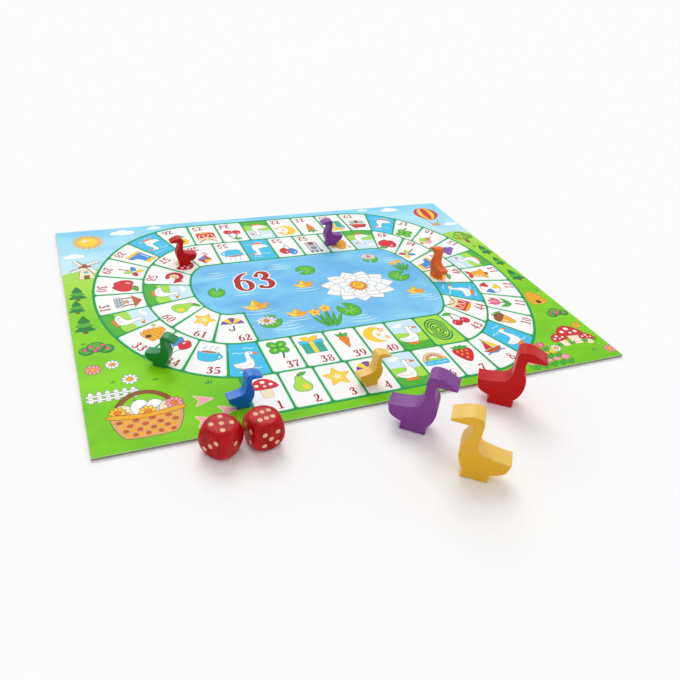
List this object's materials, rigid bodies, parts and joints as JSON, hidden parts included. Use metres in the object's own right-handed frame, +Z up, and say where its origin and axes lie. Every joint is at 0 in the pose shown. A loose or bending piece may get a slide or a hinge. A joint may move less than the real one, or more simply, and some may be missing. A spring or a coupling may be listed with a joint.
{
  "type": "board game set",
  "caption": "Flat laminated race-game board with a spiral track round a pond, goose-shaped pawns that lift off, and rounded dice beside it.",
  "frame": {"origin": "middle of the board's underside, on the table", "axes": "+X along the board's long edge, to the right of the player at the front edge; +Y away from that player; +Z up"},
  "size_m": [0.4, 0.3895, 0.046],
  "materials": {
    "greyboard": "matte fibrous cut edge",
    "face_print": "satin coated print",
    "back_paper": "matte uncoated",
    "lacquer_red": "glossy lacquer",
    "lacquer_purple": "glossy lacquer",
    "lacquer_orange": "glossy lacquer",
    "lacquer_green": "glossy lacquer",
    "lacquer_blue": "glossy lacquer",
    "lacquer_yellow": "glossy lacquer",
    "lacquer_dice": "glossy lacquer with pale recessed pips"
  },
  "bodies": {
    "board": {"board_core": "greyboard", "board_face_sheet": "face_print", "board_back_sheet": "back_paper"},
    "pawn_red": {"pawn_red": "lacquer_red"},
    "pawn_purple": {"pawn_purple": "lacquer_purple"},
    "pawn_orange": {"pawn_orange": "lacquer_orange"},
    "pawn_green": {"pawn_green": "lacquer_green"},
    "pawn_blue": {"pawn_blue": "lacquer_blue"},
    "pawn_yellow": {"pawn_yellow": "lacquer_yellow"},
    "large_pawn_purple": {"large_pawn_purple": "lacquer_purple"},
    "large_pawn_red": {"large_pawn_red": "lacquer_red"},
    "large_pawn_yellow": {"large_pawn_yellow": "lacquer_yellow"},
    "die_left": {"die_left": "lacquer_dice"},
    "die_right": {"die_right": "lacquer_dice"}
  },
  "joints": [
    {"name": "pawn_red_lift", "type": "slide", "parent": "board", "child": "pawn_red", "axis": [0, 0, 1], "range_m": [0, 0.08]},
    {"name": "pawn_purple_lift", "type": "slide", "parent": "board", "child": "pawn_purple", "axis": [0, 0, 1], "range_m": [0, 0.08]},
    {"name": "pawn_orange_lift", "type": "slide", "parent": "board", "child": "pawn_orange", "axis": [0, 0, 1], "range_m": [0, 0.08]},
    {"name": "pawn_green_lift", "type": "slide", "parent": "board", "child": "pawn_green", "axis": [0, 0, 1], "range_m": [0, 0.08]},
    {"name": "pawn_blue_lift", "type": "slide", "parent": "board", "child": "pawn_blue", "axis": [0, 0, 1], "range_m": [0, 0.08]},
    {"name": "pawn_yellow_lift", "type": "slide", "parent": "board", "child": "pawn_yellow", "axis": [0, 0, 1], "range_m": [0, 0.08]},
    {"name": "large_pawn_purple_lift", "type": "slide", "parent": "board", "child": "large_pawn_purple", "axis": [0, 0, 1], "range_m": [0, 0.08]},
    {"name": "large_pawn_red_lift", "type": "slide", "parent": "board", "child": "large_pawn_red", "axis": [0, 0, 1], "range_m": [0, 0.08]},
    {"name": "large_pawn_yellow_lift", "type": "slide", "parent": "board", "child": "large_pawn_yellow", "axis": [0, 0, 1], "range_m": [0, 0.08]},
    {"name": "die_left_lift", "type": "slide", "parent": "board", "child": "die_left", "axis": [0, 0, 1], "range_m": [0, 0.08]},
    {"name": "die_right_lift", "type": "slide", "parent": "board", "child": "die_right", "axis": [0, 0, 1], "range_m": [0, 0.08]}
  ]
}
